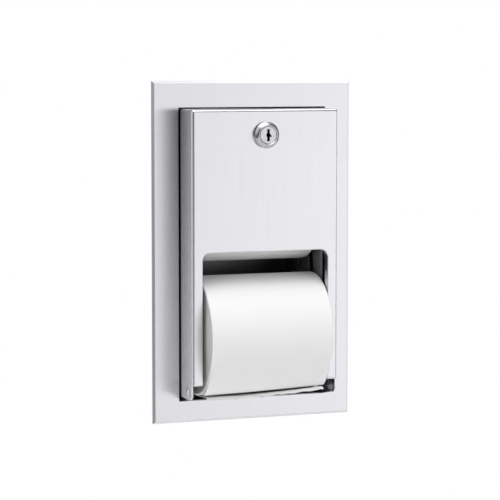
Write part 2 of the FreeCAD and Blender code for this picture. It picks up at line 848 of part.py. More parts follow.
def lock_plug():
    """Turning core with its keyhole, and a square tang for the cam."""
    face = size.bezel_rise - size.plug_inset
    neck_end = -size.barrel_length - size.neck_length
    profile = [
        (neck_end, ZERO),
        (face, ZERO),
        (face, size.plug_radius - size.lock_edge),
        (face - size.lock_edge, size.plug_radius),
        (-size.barrel_length, size.plug_radius),
        (-size.barrel_length, size.neck_radius),
        (neck_end, size.neck_radius),
    ]
    body = turned("lock_plug", profile, "front", lock_place())
    half = size.tang_side / 2
    tang = rectangle(-half, half, -half, half)
    pad(body, outline(body, "YZ_Plane", tang, neck_end - size.cam_thickness), size.cam_thickness)
    level = face + size.overrun
    depth = size.keyhole_depth + size.overrun
    slit = rectangle(
        -size.keyhole_width / 2, size.keyhole_width / 2, -size.keyhole_height / 2, size.keyhole_height / 2
    )
    pocket(body, outline(body, "YZ_Plane", slit, level), depth)
    post = circles(body, "YZ_Plane", [(ZERO, ZERO)], size.keyhole_post_radius, level)
    pocket(body, post, depth)
    ward_low = -size.key_ward_drop - size.key_ward_height / 2
    ward = rectangle(ZERO, size.key_ward_reach, ward_low, ward_low + size.key_ward_height)
    pocket(body, outline(body, "YZ_Plane", ward, level), depth)
    thread = circles(body, "YZ_Plane", [(ZERO, ZERO)], size.screw_radius, neck_end)
    pocket(body, thread, size.cam_thickness + size.overrun)
    deep = circles(body, "YZ_Plane", [(ZERO, ZERO)], size.screw_radius, screw_tip())
    pocket(body, deep, size.screw_length)
    return body


def screw_tip():
    """Where the cam screw ends inside the plug."""
    return size.screw_length - size.barrel_length - size.neck_length - size.cam_thickness


def lock_washer():
    low = -size.door_sheet - size.lock_washer_thickness
    inner = size.barrel_radius + size.barrel_play
    return ring(
        "lock_washer", low, -size.door_sheet, inner, size.lock_washer_radius, "front", lock_place()
    )


def lock_nut():
    """Thin hexagon nut that pulls the bezel against the door."""
    body = new_body("lock_nut")
    corner = size.lock_nut_across / math.sqrt(3)
    hexagon = [
        (corner * math.cos(math.radians(step)), corner * math.sin(math.radians(step)))
        for step in range(0, 360, 60)
    ]
    low = -size.door_sheet - size.lock_washer_thickness - size.lock_nut_thickness
    pad(body, outline(body, "YZ_Plane", hexagon, low), size.lock_nut_thickness)
    level = low + size.lock_nut_thickness + size.overrun
    bore = circles(body, "YZ_Plane", [(ZERO, ZERO)], size.barrel_radius, level)
    pocket(body, bore, size.lock_nut_thickness + size.overrun * 2)
    return seat(body, "front", lock_place())


def lock_cam():
    """Flat cam on the plug's tang, shown unlocked with its arm to the side."""
    body = new_body("lock_cam")
    low = -size.barrel_length - size.neck_length - size.cam_thickness
    hub = circles(body, "YZ_Plane", [(ZERO, ZERO)], size.cam_hub_radius, low)
    pad(body, hub, size.cam_thickness)
    width = size.cam_half_width
    arm = rectangle(ZERO, size.cam_length, -width, width)
    pad(body, outline(body, "YZ_Plane", arm, low), size.cam_thickness)
    half = size.tang_side / 2
    square = rectangle(-half, half, -half, half)
    level = low + size.cam_thickness + size.overrun
    pocket(body, outline(body, "YZ_Plane", square, level), size.cam_thickness + size.overrun * 2)
    return seat(body, "front", lock_place())


def cam_screw():
    """Slotted screw that holds the cam on the tang."""
    under = -size.barrel_length - size.neck_length - size.cam_thickness
    head = under - size.screw_head
    profile = [
        (head, ZERO),
        (screw_tip(), ZERO),
        (screw_tip(), size.screw_radius),
        (under, size.screw_radius),
        (under, size.screw_head_radius),
        (head, size.screw_head_radius),
    ]
    body = turned("cam_screw", profile, "front", lock_place())
    half = size.screw_slot / 2
    reach = size.screw_head_radius + size.overrun
    slit = rectangle(-reach, reach, -half, half)
    pocket(body, outline(body, "YZ_Plane", slit, head + size.screw_head / 2), size.screw_head)
    return body


def spindle(name, where):
    """Moulded spindle: ribbed shaft, two hubs in the roll's core, end collars and journals."""
    hub = size.core_radius - size.core_wall - size.hub_play
    hub_outer = roll_half - size.hub_inset
    hub_inner = hub_outer - size.hub_length
    right = [
        (hub_inner, size.shaft_radius),
        (hub_inner, hub),
        (hub_outer - size.hub_chamfer, hub),
        (hub_outer, hub - size.hub_chamfer),
        (hub_outer, size.shaft_radius),
        (collar_inner, size.shaft_radius),
        (collar_inner, size.collar_radius),
        (collar_outer, size.collar_radius),
        (collar_outer, size.journal_radius),
        (journal_end - size.journal_chamfer, size.journal_radius),
        (journal_end, size.journal_radius - size.journal_chamfer),
        (journal_end, ZERO),
    ]
    left = [(-along, radius) for along, radius in reversed(right)]
    body = turned(name, left + right, "right", where)
    half = size.rib_thickness / 2
    for rib in (rectangle(-hub, hub, -half, half), rectangle(-half, half, -hub, hub)):
        pad(body, outline(body, "YZ_Plane", rib), hub_inner * 2, symmetric=True)
    return body


def paper_roll(name, where):
    inner = size.core_radius
    return ring(f"{name}_paper", -roll_half, roll_half, inner, size.roll_radius, "right", where)


def roll_core(name, where):
    inner = size.core_radius - size.core_wall
    return ring(f"{name}_core", -roll_half, roll_half, inner, size.core_radius, "right", where)


def around(centre, radius, degrees):
    """A point round an axis along X, in degrees up from the axis's front."""
    turn = math.radians(degrees)
    return centre + FreeCAD.Vector(0, -radius * math.cos(turn), radius * math.sin(turn))


def arc_around(centre, radius, start, end):
    points = [around(centre, radius, degrees) for degrees in (start, (start + end) / 2, end)]
    return Part.Arc(*points).toShape()


def sheet_wire(near_face, far_face):
    """Closed section of a thin sheet between the edges of its two faces, both run the same way."""
    starts = [face[0].firstVertex(True).Point for face in (near_face, far_face)]
    ends = [face[-1].lastVertex(True).Point for face in (near_face, far_face)]
    edges = near_face + far_face + [Part.makeLine(*starts), Part.makeLine(*ends)]
    return Part.Wire(Part.__sortEdges__(edges))


def lofted(name, wires):
    feature = doc.addObject("Part::Feature", name)
    feature.Shape = Part.makeLoft(wires, True, True)
    feature.Placement = FreeCAD.Placement()
    return feature


def paper_axis(x):
    return FreeCAD.Vector(x, lower_y.value, lower_z.value)


def turn_face(x, slack, end_degrees, offset):
    """Edges of one face of the slack turn at x: on the roll, down from its front, then curled in below."""
    radius = size.roll_radius.value + size.tail_gap.value + offset
    curl = size.turn_curl.value + offset
    hang_axis = paper_axis(x) + FreeCAD.Vector(0, slack, 0)
    curl_axis = around(hang_axis, radius + slack - curl, end_degrees)
    return [
        arc_around(paper_axis(x), radius, TURN_START_DEGREES, 0),
        arc_around(hang_axis, radius + slack, 0, end_degrees),
        arc_around(curl_axis, curl, end_degrees, TURN_TUCK_DEGREES),
    ]


def loose_turn():
    """Outer turn of the paper in use, which hangs slack at the roll's front."""
    ends = (
        (-roll_half.value, size.turn_slack_left.value, TURN_END_DEGREES[0]),
        (roll_half.value, size.turn_slack_right.value, TURN_END_DEGREES[1]),
    )
    ends = [(x + size.turn_shift.value, slack, degrees) for x, slack, degrees in ends]
    thickness = size.tail_thickness.value
    return lofted("loose_turn", [sheet_wire(turn_face(*end, 0), turn_face(*end, thickness)) for end in ends])


def tail_face(x, end_degrees, radius):
    """Edges of one face of the loose end at x: round the roll, then straight out to the front."""
    end = around(paper_axis(x), radius, end_degrees)
    turn = math.radians(end_degrees)
    away = FreeCAD.Vector(0, math.sin(turn), math.cos(turn))
    arc = arc_around(paper_axis(x), radius, TAIL_START_DEGREES, end_degrees)
    return [arc, Part.makeLine(end, end + away * size.tail_reach.value)]


def loose_sheet():
    """Free end of the paper, lying on the roll's underside and standing off in a wavy edge."""
    inner = size.roll_radius.value + size.tail_gap.value
    outer = inner + size.tail_thickness.value
    stations = len(TAIL_WAVE_SHARES) - 1
    wires = []
    for number, share in enumerate(TAIL_WAVE_SHARES):
        x = size.tail_width.value * (number / stations - 1 / 2)
        end = TAIL_END_DEGREES + math.degrees(share * size.tail_wave.value / inner)
        wires.append(sheet_wire(tail_face(x, end, inner), tail_face(x, end, outer)))
    return lofted("loose_sheet", wires)


def drop_lever():
    """Plate lever: a shelf under the reserve journal above its pivot, and an eye for the bar below."""
    body = new_body("drop_lever_right")
    pivot = (pivot_y, pivot_z)
    width = size.lever_half_width
    lower_arm = obround(pivot, (bar_y, bar_z), width)
    pad(body, outline(body, "YZ_Plane", lower_arm, lever_inner), size.lever_sheet)
    hub = circles(body, "YZ_Plane", [pivot], size.lever_hub_radius, lever_inner)
    pad(body, hub, size.lever_sheet)
    # The shelf's top is an arc about the pivot, so it slides from under the journal as the bail turns
    seat_reach = hypotenuse(size.lever_setback, size.lever_drop)
    shelf = seat_reach - size.journal_radius - size.shelf_gap
    up = (-size.lever_setback / seat_reach, size.lever_drop / seat_reach)
    left = (-up[1] * width, up[0] * width)
    rise = other_leg(shelf, width)
    lift = (up[0] * rise, up[1] * rise)
    upper_arm = [
        (pivot_y + left[0], pivot_z + left[1]),
        (pivot_y - left[0], pivot_z - left[1]),
        (pivot_y - left[0] + lift[0], pivot_z - left[1] + lift[1], shelf),
        (pivot_y + left[0] + lift[0], pivot_z + left[1] + lift[1]),
    ]
    pad(body, outline(body, "YZ_Plane", upper_arm, lever_inner), size.lever_sheet)
    level = lever_outer + size.overrun
    depth = size.lever_sheet + size.overrun * 2
    pin_hole = circles(body, "YZ_Plane", [pivot], size.pin_radius + size.pin_play, level)
    pocket(body, pin_hole, depth)
    eye = circles(body, "YZ_Plane", [(bar_y, bar_z)], size.tenon_radius, level)
    pocket(body, eye, depth)
    return body


def lever_pivot():
    """Shouldered pin, riveted into the guide plate, that the lever turns on."""
    collar = size.pin_collar_radius
    shoulder = lever_outer + size.pin_side_play
    head = lever_inner - size.pin_side_play
    profile = [
        (head - size.pin_head, ZERO),
        (guide_outer + size.pin_head, ZERO),
        (guide_outer + size.pin_head, collar),
        (guide_outer, collar),
        (guide_outer, size.pin_radius),
        (guide_inner, size.pin_radius),
        (guide_inner, collar),
        (shoulder, collar),
        (shoulder, size.pin_radius),
        (head, size.pin_radius),
        (head, collar),
        (head - size.pin_head, collar),
    ]
    return turned("lever_pivot_right", profile, "right", (ZERO, pivot_y, pivot_z))


def feeler_bar():
    """Bar across the back of the lower roll, with a tenon in the eye of each lever."""
    end = lever_outer + size.tenon_stand
    profile = [
        (-end, ZERO),
        (end, ZERO),
        (end, size.tenon_radius),
        (lever_inner, size.tenon_radius),
        (lever_inner, size.bar_radius),
        (-lever_inner, size.bar_radius),
        (-lever_inner, size.tenon_radius),
        (-end, size.tenon_radius),
    ]
    return turned("feeler_bar", profile, "right", (ZERO, bar_y, bar_z))


def both_sides(right):
    """A right-hand piece and its mirror image on the left."""
    return [right, mirrored(right.Name.replace("_right", "_left"), right)]


def build():
    lower = (ZERO, lower_y, lower_z)
    reserve = (ZERO, reserve_y, reserve_z)
    pieces = [
        wall_flange(),
        cabinet_shell(),
        guide_plate_rivets(),
        lock_strike(),
        strike_rivets(),
        hinge_washers(),
        door_panel(),
        lock_case(),
        lock_washer(),
        lock_nut(),
        lock_plug(),
        lock_cam(),
        cam_screw(),
        spindle("lower_spindle", lower),
        paper_roll("lower_roll", lower),
        roll_core("lower_roll", lower),
        loose_turn(),
        loose_sheet(),
        spindle("reserve_spindle", reserve),
        paper_roll("reserve_roll", reserve),
        roll_core("reserve_roll", reserve),
        feeler_bar(),
    ]
    for right in (guide_plate(), hinge_rivet(), lever_pivot(), drop_lever()):
        pieces += both_sides(right)
    doc.recompute()
    return pieces


def check(pieces):
    """Stops before anything is written if an object failed or a piece isn't a sound solid."""
    for item in doc.Objects:
        if "Invalid" in item.State or "Error" in item.State:
            raise RuntimeError(f"{item.Name} failed: {item.State}")
    for piece in pieces:
        if piece.Shape.isNull() or not piece.Shape.isValid() or not piece.Shape.Solids:
            raise RuntimeError(f"{piece.Name} has no sound solid")


def export(pieces):
    os.makedirs("parts", exist_ok=True)
    for piece in pieces:
        piece.Label = piece.Name
        piece.Shape.exportStep(f"parts/{piece.Label}.step")


sub_parts = build()
check(sub_parts)
export(sub_parts)
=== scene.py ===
"""Looks of a recessed toilet paper dispenser: brushed sheet, a chromed lock and soft white rolls.

All lengths are in metres. X runs to the right seen from the front, Y back into the wall and Z up.
"""

import json
import math

import bpy
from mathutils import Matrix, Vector, noise


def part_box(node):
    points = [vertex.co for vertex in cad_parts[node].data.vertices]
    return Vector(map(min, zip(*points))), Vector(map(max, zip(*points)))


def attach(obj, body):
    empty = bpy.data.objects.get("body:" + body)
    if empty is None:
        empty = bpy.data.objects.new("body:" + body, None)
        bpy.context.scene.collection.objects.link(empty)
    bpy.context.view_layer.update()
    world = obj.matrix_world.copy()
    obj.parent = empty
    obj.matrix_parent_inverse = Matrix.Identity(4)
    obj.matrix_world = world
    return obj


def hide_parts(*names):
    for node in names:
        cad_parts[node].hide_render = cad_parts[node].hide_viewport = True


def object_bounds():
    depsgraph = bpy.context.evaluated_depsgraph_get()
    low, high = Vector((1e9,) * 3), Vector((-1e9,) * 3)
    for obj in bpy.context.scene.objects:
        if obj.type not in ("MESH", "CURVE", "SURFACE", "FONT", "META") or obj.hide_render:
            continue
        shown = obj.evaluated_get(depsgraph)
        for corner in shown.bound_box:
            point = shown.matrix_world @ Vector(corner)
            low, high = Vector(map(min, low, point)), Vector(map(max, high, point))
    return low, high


MM = 0.001

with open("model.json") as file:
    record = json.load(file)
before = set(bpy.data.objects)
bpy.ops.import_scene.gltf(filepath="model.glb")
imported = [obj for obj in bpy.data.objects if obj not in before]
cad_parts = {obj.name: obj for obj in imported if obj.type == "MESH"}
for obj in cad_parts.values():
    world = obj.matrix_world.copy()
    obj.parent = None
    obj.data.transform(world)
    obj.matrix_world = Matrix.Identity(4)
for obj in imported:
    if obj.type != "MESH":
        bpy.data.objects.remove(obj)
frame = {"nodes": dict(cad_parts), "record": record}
cad_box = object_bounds()
nodes = frame["nodes"]

# Rolls of tissue
ROLL_EDGE_ROUND = 1.6 * MM
ROLL_END_DIP = 0.5 * MM
ROLL_LUMP = 0.12 * MM
ROLL_LUMPS_PER_METRE = 26.0
ROLL_STEPS_AROUND = 160
ROLL_STEPS_ALONG = 40
ROLL_STEPS_END = 14
ROLL_STEPS_ROUND = 5
WOUND_PITCH = 0.55 * MM
WOUND_RIDGE = 0.2 * MM
WOUND_RAGGED = 0.25 * MM
WOUND_RAGS_PER_METRE = 420.0
WOUND_SIDES = 4
WOUND_STEPS_PER_TURN = 56

# Slack outer turn and loose end of the tissue in use, both on the lower roll
SHEET_LIFT = 0.5 * MM
SHEET_THICKNESS = 0.22 * MM
SHEET_CREASE = 0.07 * MM
SHEET_CREASES_ACROSS = 85.0
SHEET_CREASES_ALONG = 14.0
SHEET_COLUMNS = 220

# The slack turn lies on the roll's top, hangs from its front and curls in below, from left to right
TURN_SLACK = (6.4 * MM, 10.0 * MM)
TURN_CURL = 6.0 * MM
TURN_SHIFT = 1.3 * MM
TURN_SKEW = 1.5 * MM
TURN_START = math.radians(100.0)
TURN_END = (math.radians(-55.0), math.radians(-43.0))
TURN_TUCK = math.radians(-110.0)
TURN_STEPS = (48, 36, 12)

# The loose end comes round the roll's back and leaves its underside in a wavy, torn edge
TAIL_WIDTH = 110.0 * MM
TAIL_REACH = 29.0 * MM
TAIL_WAVE = 2.0 * MM
TAIL_START = math.radians(-140.0)
TAIL_END = math.radians(-86.5)
TAIL_WAVE_SHARES = (0.0, 0.5, 0.4, 0.9, 1.8, 2.7, 3.6, 4.6, 5.6)
TAIL_LIP = (5.0 * MM, 7.0 * MM)
TAIL_LIP_BEND = math.radians(62.0)
TAIL_CRINKLE_SHARE = 0.4
TAIL_CRINKLES_PER_METRE = 130.0
TAIL_STEPS_ROUND = 24
TAIL_STEPS_REACH = 32
TAIL_TOOTH = 0.35 * MM
TAIL_TOOTH_COLUMNS = 4

# Thread on the lock's barrel
THREAD_PITCH = 1.0 * MM
THREAD_DEPTH = 0.35 * MM
THREAD_SIDES = 3
THREAD_STEPS_PER_TURN = 40
NUT_WALL = 2.5 * MM

# Depths behind the plug's face at which the painted shade in the keyhole starts and is full, and
# the shade's colour
KEYHOLE_SHADE_DEPTHS = (0.25 * MM, 1.5 * MM)
KEYHOLE_PAINTED_SHADE = (0.012, 0.011, 0.010)

# Depths behind the wall's face at which the flange's painted shade starts and is full, and the
# shade's colour
FLANGE_SHADE_DEPTHS = (0.3 * MM, 1.5 * MM)
FLANGE_PAINTED_SHADE = (0.03, 0.03, 0.032)

# Brush lines: the finest lines' share of a streak, how far the broad ones are drawn out,
# the bump's strength and distance, and how much wiping roughens the sheet
FINE_LINE_SHARE = 0.6
BROAD_DRAW_SHARE = 0.3
GRAIN_BUMP = (0.04, 0.05 * MM)
WIPED_ROUGHNESS = 0.01

# Brushed sheet: bright lines, dull lines, roughness, its spread, and how far the gloss is drawn out
BRUSHED_FINISHES = {
    "door_steel": ((0.83, 0.83, 0.85), (0.71, 0.71, 0.73), 0.25, 0.02, 0.95),
    "flange_steel": ((0.82, 0.82, 0.84), (0.70, 0.70, 0.72), 0.25, 0.02, 0.95),
    # cabinet_steel is coloured far darker than its real bright stainless, as painted shade inside
    # the cabinet
    "cabinet_steel": ((0.28, 0.28, 0.29), (0.22, 0.22, 0.23), 0.32, 0.06, 0.5),
    "guide_steel": ((0.68, 0.68, 0.69), (0.60, 0.60, 0.61), 0.5, 0.06, 0.2),
    "lever_steel": ((0.44, 0.44, 0.45), (0.36, 0.36, 0.37), 0.45, 0.08, 0.3),
}

# Polished metal: colour, roughness, and how much rougher its marks are
POLISHED_FINISHES = {
    "rivet_steel": ((0.62, 0.62, 0.635), 0.22, 0.12),
    "lock_chrome": ((0.53, 0.53, 0.545), 0.13, 0.05),
    "lock_zinc": ((0.56, 0.565, 0.585), 0.3, 0.15),
    "keyed_chrome": ((0.56, 0.56, 0.575), 0.13, 0.05),
}
POLISHED_MARK_SHARE = 0.86

# Tissue: the creping's share of its height, and how far the creping is drawn out across the web
CREPE_SHARE = 0.6
CREPE_DRAW_SHARE = 0.12

# Darker and paler colours of the other finishes
PLASTIC_BLACKS = ((0.022, 0.022, 0.024, 1.0), (0.04, 0.04, 0.043, 1.0))
BOARD_BROWNS = ((0.23, 0.16, 0.10, 1.0), (0.46, 0.36, 0.25, 1.0))
FLOOR_GREYS = ((0.74, 0.74, 0.74, 1.0), (0.77, 0.77, 0.77, 1.0))

# Camera at the photograph's viewing angle
CAMERA_TARGET = Vector((-8.8, -20.0, 2.4)) * MM
CAMERA_DISTANCE = 1907.0 * MM
CAMERA_YAW = math.radians(20.42)
CAMERA_PITCH = math.radians(5.197)
CAMERA_LENS = 149.8

# Floor, and soft lights all round: (azimuth, elevation, full within, gone beyond, strength),
# in degrees, with azimuth 0 straight in front of the part and positive to its right
FLOOR_DROP = 1.0
FLOOR_SIZE = 6.0
STUDIO_LIGHTS = {
    "left_back_screen": (-105.0, -3.0, 10.0, 45.0, 0.56),
    "left_front_screen": (-50.0, -3.0, 6.0, 24.0, 0.12),
    "front_screen": (20.0, -3.0, 6.0, 26.0, 0.92),
    "right_front_screen": (42.0, -3.0, 6.0, 26.0, 1.05),
    "low_left_bounce": (-22.0, -16.0, 5.0, 16.0, 1.48),
    "left_soft_box": (-60.0, 35.0, 12.0, 42.0, 0.70),
    "upper_soft_box": (0.0, 58.0, 10.0, 34.0, 1.83),
    "upper_left_soft_box": (-40.0, 75.0, 10.0, 34.0, 1.40),
    "top_soft_box": (0.0, 85.0, 15.0, 45.0, 0.50),
    "right_back_screen": (110.0, -3.0, 10.0, 30.0, 0.80),
    "behind": (180.0, 30.0, 40.0, 110.0, 0.70),
}
LIGHT_COLOUR = (1.0, 1.0, 1.015, 1.0)


def node(tree, kind, inputs=None, **settings):
    """Adds a node with its settings, and fills its inputs with values or other nodes' outputs."""
    made = tree.nodes.new(kind)
    for name, value in settings.items():
        setattr(made, name, value)
    for name, value in (inputs or {}).items():
        if isinstance(value, bpy.types.NodeSocket):
            tree.links.new(value, made.inputs[name])
        else:
            made.inputs[name].default_value = value
    return made


def math_node(tree, operation, *values):
    return node(tree, "ShaderNodeMath", dict(enumerate(values)), operation=operation).outputs[0]


def blend_colours(tree, factor, first, second):
    made = node(tree, "ShaderNodeMix", {0: factor, 6: first, 7: second}, data_type="RGBA")
    return made.outputs[2]


def between(tree, value, low, high):
    """Stretches a value from 0..1 to low..high."""
    made = node(tree, "ShaderNodeMapRange", {"Value": value, "To Min": low, "To Max": high})
    return made.outputs["Result"]


def shader_group(name, inputs, outputs):
    """An empty shader group with named sockets: its tree, input node and output node."""
    tree = bpy.data.node_groups.new(name, "ShaderNodeTree")
    for socket, value in inputs.items():
        made = tree.interface.new_socket(socket, in_out="INPUT", socket_type="NodeSocketFloat")
        made.default_value = value
    for socket in outputs:
        tree.interface.new_socket(socket, in_out="OUTPUT", socket_type="NodeSocketFloat")
    return tree, tree.nodes.new("NodeGroupInput"), tree.nodes.new("NodeGroupOutput")


def place_group(tree, group, **inputs):
    made = node(tree, "ShaderNodeGroup", node_tree=group)
    for name, value in inputs.items():
        made.inputs[name.replace("_", " ")].default_value = value
    return made


def object_noise(tree, scale, detail, roughness):
    """Noise on Object coordinates, stretched by a vector of scales."""
    place = node(tree, "ShaderNodeTexCoord").outputs["Object"]
    stretched = node(tree, "ShaderNodeVectorMath", {0: place, 1: scale}, operation="MULTIPLY")
    return node(
        tree,
        "ShaderNodeTexNoise",
        {"Vector": stretched.outputs[0], "Scale": 1.0, "Detail": detail, "Roughness": roughness},
    ).outputs["Fac"]


def brushed_grain_group():
    """Upright brush lines: the finest alone, and a streak of fine and broad lines together."""
    tree, given, result = shader_group(
        "brushed_grain", {"Across": 2600.0, "Along": 22.0, "Broad": 0.12}, ("Fine", "Streak")
    )
    across = given.outputs["Across"]
    along = given.outputs["Along"]
    fine_scale = node(tree, "ShaderNodeCombineXYZ", {"X": across, "Y": across, "Z": along})
    wide = math_node(tree, "MULTIPLY", across, given.outputs["Broad"])
    drawn = math_node(tree, "MULTIPLY", along, BROAD_DRAW_SHARE)
    broad_scale = node(tree, "ShaderNodeCombineXYZ", {"X": wide, "Y": wide, "Z": drawn})
    fine = object_noise(tree, fine_scale.outputs[0], 2.0, 0.6)
    broad = object_noise(tree, broad_scale.outputs[0], 3.0, 0.55)
    broad_part = math_node(tree, "MULTIPLY", broad, 1 - FINE_LINE_SHARE)
    streak = math_node(tree, "MULTIPLY_ADD", fine, FINE_LINE_SHARE, broad_part)
    tree.links.new(fine, result.inputs["Fine"])
    tree.links.new(streak, result.inputs["Streak"])
    return tree


def handling_group():
    """Cloudy marks left by hands and wiping."""
    tree, given, result = shader_group("handling_marks", {"Scale": 30.0, "Cover": 0.5}, ("Marks",))
    scale = given.outputs["Scale"]
    spread = node(tree, "ShaderNodeCombineXYZ", {"X": scale, "Y": scale, "Z": scale})
    cloud = object_noise(tree, spread.outputs[0], 4.0, 0.6)
    marks = node(
        tree,
        "ShaderNodeMapRange",
        {"Value": cloud, "From Min": given.outputs["Cover"], "From Max": 0.8},
        interpolation_type="SMOOTHSTEP",
    )
    tree.links.new(marks.outputs["Result"], result.inputs["Marks"])
    return tree


def tissue_group():
    """Soft fibres of tissue: a fine tangle, and faint creping across the web."""
    tree, given, result = shader_group(
        "tissue_fibre", {"Fibre": 2400.0, "Crepe": 900.0}, ("Fibre", "Height")
    )
    fibre = given.outputs["Fibre"]
    tangle_scale = node(tree, "ShaderNodeCombineXYZ", {"X": fibre, "Y": fibre, "Z": fibre})
    tangle = object_noise(tree, tangle_scale.outputs[0], 4.0, 0.65)
    crepe = given.outputs["Crepe"]
    drawn = math_node(tree, "MULTIPLY", crepe, CREPE_DRAW_SHARE)
    crepe_scale = node(tree, "ShaderNodeCombineXYZ", {"X": drawn, "Y": crepe, "Z": crepe})
    creped = object_noise(tree, crepe_scale.outputs[0], 2.0, 0.5)
    tangle_part = math_node(tree, "MULTIPLY", tangle, 1 - CREPE_SHARE)
    height = math_node(tree, "MULTIPLY_ADD", creped, CREPE_SHARE, tangle_part)
    tree.links.new(tangle, result.inputs["Fibre"])
    tree.links.new(height, result.inputs["Height"])
    return tree


brushed_grain = brushed_grain_group()
handling_marks = handling_group()
tissue_fibre = tissue_group()


def new_material(name, **values):
    """A material with one Principled shader, whose constant values sit on its own sockets."""
    material = bpy.data.materials.new(name)
    material.use_nodes = True
    tree = material.node_tree
    shader = tree.nodes["Principled BSDF"]
    for socket, value in values.items():
        shader.inputs[socket.replace("_", " ")].default_value = value
    return material, tree, shader


def bump(tree, shader, height, strength, distance):
    values = {"Height": height, "Strength": strength, "Distance": distance}
    made = node(tree, "ShaderNodeBump", values)
    tree.links.new(made.outputs["Normal"], shader.inputs["Normal"])


def brushed_steel(name, colour, shade, roughness, spread, anisotropic):
    """Stainless sheet with an upright brushed grain, which its colour and roughness follow."""
    material, tree, shader = new_material(name, Metallic=1.0, Anisotropic=anisotropic)
    grain = place_group(tree, brushed_grain)
    marks = place_group(tree, handling_marks)
    tint = blend_colours(tree, grain.outputs["Streak"], (*shade, 1.0), (*colour, 1.0))
    tree.links.new(tint, shader.inputs["Base Color"])
    rough = between(tree, grain.outputs["Streak"], roughness - spread, roughness + spread)
    rough = math_node(tree, "MULTIPLY_ADD", marks.outputs["Marks"], WIPED_ROUGHNESS, rough)
    tree.links.new(rough, shader.inputs["Roughness"])
    tangent = node(tree, "ShaderNodeTangent", direction_type="RADIAL", axis="Z")
    tree.links.new(tangent.outputs["Tangent"], shader.inputs["Tangent"])
    bump(tree, shader, grain.outputs["Fine"], *GRAIN_BUMP)
    return material


def polished_metal(name, colour, roughness, marks_depth):
    """Plated or polished small metal parts, with a little unevenness in their gloss."""
    material, tree, shader = new_material(name, Metallic=1.0)
    marks = place_group(tree, handling_marks, Scale=220.0, Cover=0.35)
    shade = tuple(POLISHED_MARK_SHARE * part for part in colour)
    tint = blend_colours(tree, marks.outputs["Marks"], (*colour, 1.0), (*shade, 1.0))
    tree.links.new(tint, shader.inputs["Base Color"])
    rough = between(tree, marks.outputs["Marks"], roughness, roughness + marks_depth)
    tree.links.new(rough, shader.inputs["Roughness"])
    return material


def paint_shade_behind(material, face, depths, colour):
    """Paints shade into a metal finish's colour behind a face, between two depths along Y."""
    tree = material.node_tree
    shader = tree.nodes["Principled BSDF"]
    place = node(tree, "ShaderNodeTexCoord").outputs["Object"]
    back = node(tree, "ShaderNodeSeparateXYZ", {"Vector": place}).outputs["Y"]
    behind = node(
        tree,
        "ShaderNodeMapRange",
        {"Value": back, "From Min": face + depths[0], "From Max": face + depths[1]},
        interpolation_type="SMOOTHSTEP",
    ).outputs["Result"]
    bright = shader.inputs["Base Color"].links[0].from_socket
    tint = blend_colours(tree, behind, bright, (*colour, 1.0))
    tree.links.new(tint, shader.inputs["Base Color"])


def moulded_plastic():
    """Black moulded plastic with a fine spark-eroded texture."""
    material, tree, shader = new_material("spindle_plastic", IOR=1.5)
    marks = place_group(tree, handling_marks, Scale=120.0, Cover=0.3)
    fine = object_noise(tree, (4000.0, 4000.0, 4000.0), 3.0, 0.6)
    tint = blend_colours(tree, marks.outputs["Marks"], *PLASTIC_BLACKS)
    tree.links.new(tint, shader.inputs["Base Color"])
    tree.links.new(between(tree, fine, 0.4, 0.58), shader.inputs["Roughness"])
    bump(tree, shader, fine, 0.25, 0.05 * MM)
    return material


def tissue(name, bright, dull, strength):
    """White tissue, soft and without gloss."""
    material, tree, shader = new_material(name, Sheen_Weight=0.15, Sheen_Roughness=0.6, IOR=1.3)
    fibre = place_group(tree, tissue_fibre)
    tint = blend_colours(tree, fibre.outputs["Fibre"], (*dull, 1.0), (*bright, 1.0))
    tree.links.new(tint, shader.inputs["Base Color"])
    tree.links.new(between(tree, fibre.outputs["Fibre"], 0.88, 1.0), shader.inputs["Roughness"])
    bump(tree, shader, fibre.outputs["Height"], strength, 0.15 * MM)
    return material


def cardboard():
    """Grey-brown core board, with paler and darker fibres."""
    material, tree, shader = new_material("core_board")
    fibre = place_group(tree, tissue_fibre, Fibre=1500.0, Crepe=300.0)
    tint = blend_colours(tree, fibre.outputs["Fibre"], *BOARD_BROWNS)
    tree.links.new(tint, shader.inputs["Base Color"])
    tree.links.new(between(tree, fibre.outputs["Height"], 0.75, 0.95), shader.inputs["Roughness"])
    bump(tree, shader, fibre.outputs["Height"], 0.3, 0.1 * MM)
    return material


MATERIALS = {"spindle_plastic": moulded_plastic(), "cardboard": cardboard()}
for finish, values in BRUSHED_FINISHES.items():
    MATERIALS[finish] = brushed_steel(finish, *values)
for finish, values in POLISHED_FINISHES.items():
    MATERIALS[finish] = polished_metal(finish, *values)
# The flange's steel gets painted shade, near black, where it turns in behind the wall's face
paint_shade_behind(MATERIALS["flange_steel"], 0.0, FLANGE_SHADE_DEPTHS, FLANGE_PAINTED_SHADE)
TISSUE = tissue("tissue", (0.97, 0.965, 0.955), (0.92, 0.915, 0.905), 0.12)
# The roll ends' tissue is the same paper painted darker, as painted shade on the ends and wound
# edges
TISSUE_END_SHADE = tissue("tissue_end_shade", (0.64, 0.625, 0.60), (0.52, 0.505, 0.48), 0.3)


def dress_frame():
    """Gives each piece of the frame the finish of its slot in the record."""
    for part in frame["record"]["subparts"]:
        if part["material_slot"] in MATERIALS:
            mesh = nodes[part["node"]].data
            mesh.materials.clear()
            mesh.materials.append(MATERIALS[part["material_slot"]])


def dress_plug():
    """The lock's plug has its own finish, with painted shade inside the keyhole."""
    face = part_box("lock_plug")[0].y
    mesh = nodes["lock_plug"].data
    mesh.materials.clear()
    # Painted shade: the keyed chrome turns near black inside the keyhole
    paint_shade_behind(MATERIALS["keyed_chrome"], face, KEYHOLE_SHADE_DEPTHS, KEYHOLE_PAINTED_SHADE)
    mesh.materials.append(MATERIALS["keyed_chrome"])


